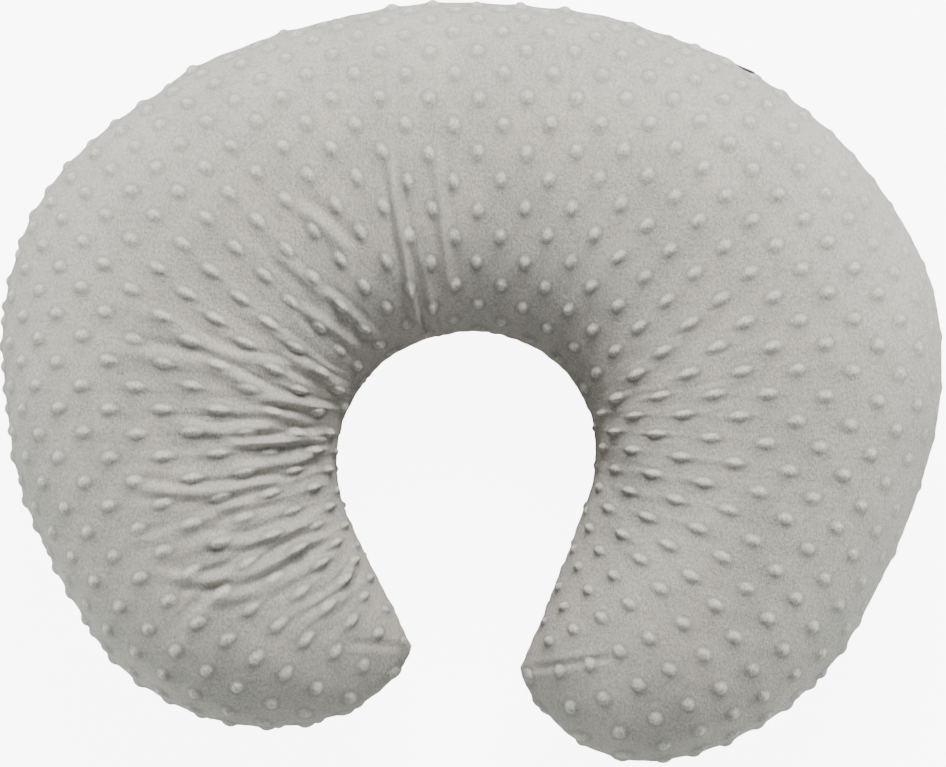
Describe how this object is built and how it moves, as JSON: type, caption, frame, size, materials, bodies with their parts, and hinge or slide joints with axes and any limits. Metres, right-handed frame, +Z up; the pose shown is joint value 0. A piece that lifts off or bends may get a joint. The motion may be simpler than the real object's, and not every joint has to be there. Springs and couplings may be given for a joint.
{
  "type": "nursing pillow",
  "caption": "C-shaped stuffed nursing pillow in a raised-dot plush cover that zips open along the back; it lies flat and curves round a waist.",
  "frame": {"origin": "centre of the pillow's outline, on the surface it lies on", "axes": "+Z up, +X to the right across the arms, and the waist opening faces -Y with the zip on the +Y side"},
  "size_m": [0.5174, 0.4155, 0.1538],
  "materials": {
    "plush": "matte",
    "thread": "satin",
    "zip_tape": "matte",
    "zip_coil": "satin",
    "slider_metal": "satin",
    "label": "satin",
    "casing": "matte",
    "filling": "matte"
  },
  "bodies": {
    "cover_and_cushion": {"cover_top_panel": "plush", "cover_bottom_panel": "plush", "cover_seam_thread": "thread", "zip_tape_upper": "zip_tape", "zip_tape_lower": "zip_tape", "zip_coil_upper": "zip_coil", "zip_coil_lower": "zip_coil", "zip_top_stops": "slider_metal", "zip_bottom_stop": "slider_metal", "zip_stitching_upper": "thread", "zip_stitching_lower": "thread", "zip_bartacks": "thread", "care_label": "label", "casing_top_panel": "casing", "casing_bottom_panel": "casing", "casing_seam_thread": "thread", "casing_closing_stitches": "thread", "casing_label": "label", "fibre_fill": "filling"},
    "zip_slider": {"zip_slider_body": "slider_metal"},
    "pull_tab": {"zip_pull_tab": "slider_metal"}
  },
  "joints": [
    {"name": "zip_slider_travel", "type": "hinge", "parent": "cover_and_cushion", "child": "zip_slider", "pos_m": [-0.00011, -0.12749, 0.068], "axis": [0, 0, 1], "range_deg": [0, 49.5], "deforming": ["zip_coil_upper", "zip_coil_lower"]},
    {"name": "pull_tab_hinge", "type": "hinge", "parent": "zip_slider", "child": "pull_tab", "pos_m": [0.13393, 0.18078, 0.068], "axis": [0, 0, 1], "range_deg": [0, 175]}
  ]
}
